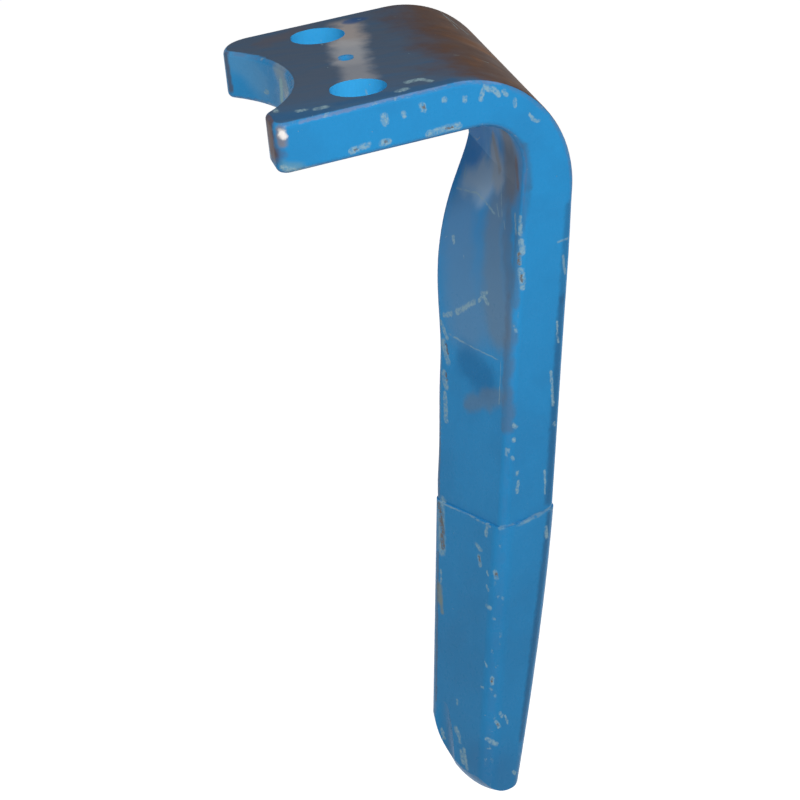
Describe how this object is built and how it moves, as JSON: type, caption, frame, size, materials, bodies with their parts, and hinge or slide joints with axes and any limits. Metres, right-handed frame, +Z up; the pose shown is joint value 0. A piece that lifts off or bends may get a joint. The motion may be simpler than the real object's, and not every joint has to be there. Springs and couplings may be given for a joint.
{
  "type": "power harrow tine",
  "caption": "Bent forged steel soil tine: a flat bolt-on flange with a curved end recess, a skewed bend and a narrowing, twisting leg that ends in a tapered, rounded blade.",
  "frame": {"origin": "midway between the two bolt holes, on the flange's top face", "axes": "+Z up, square to the flange's top face; +Y along the line through the two bolt holes, to the far one; +X from the curved end recess toward the bend"},
  "size_m": [0.1096, 0.1306, 0.2816],
  "materials": {
    "blue_enamel": "gloss paint, worn and chipped"
  },
  "bodies": {
    "root": {"tine": "blue_enamel"}
  },
  "joints": []
}
